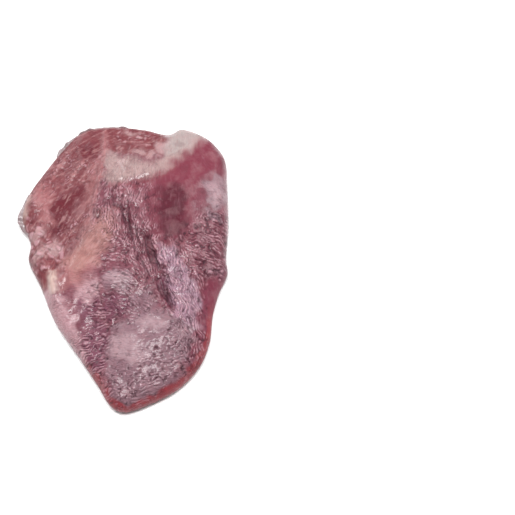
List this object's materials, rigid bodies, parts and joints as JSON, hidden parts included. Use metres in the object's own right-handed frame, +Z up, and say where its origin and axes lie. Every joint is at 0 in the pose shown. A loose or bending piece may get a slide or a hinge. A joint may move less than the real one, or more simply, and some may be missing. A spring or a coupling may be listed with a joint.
{
  "type": "mutton spleen",
  "caption": "Raw mutton spleen: a flat, domed, tongue-shaped organ with a broad end, a narrow end, a bare hilar edge and a flat resting face.",
  "frame": {"origin": "middle of the object's box, on the flat face that it rests on", "axes": "+Z up out of the domed parietal face, +Y towards the broad dorsal end, +X towards the free margin opposite the hilum"},
  "size_m": [0.085, 0.124, 0.0144],
  "materials": {
    "wet_capsule": "wet, glossy purple-red capsule over soft pulp"
  },
  "bodies": {
    "root": {"spleen": "wet_capsule"}
  },
  "joints": []
}
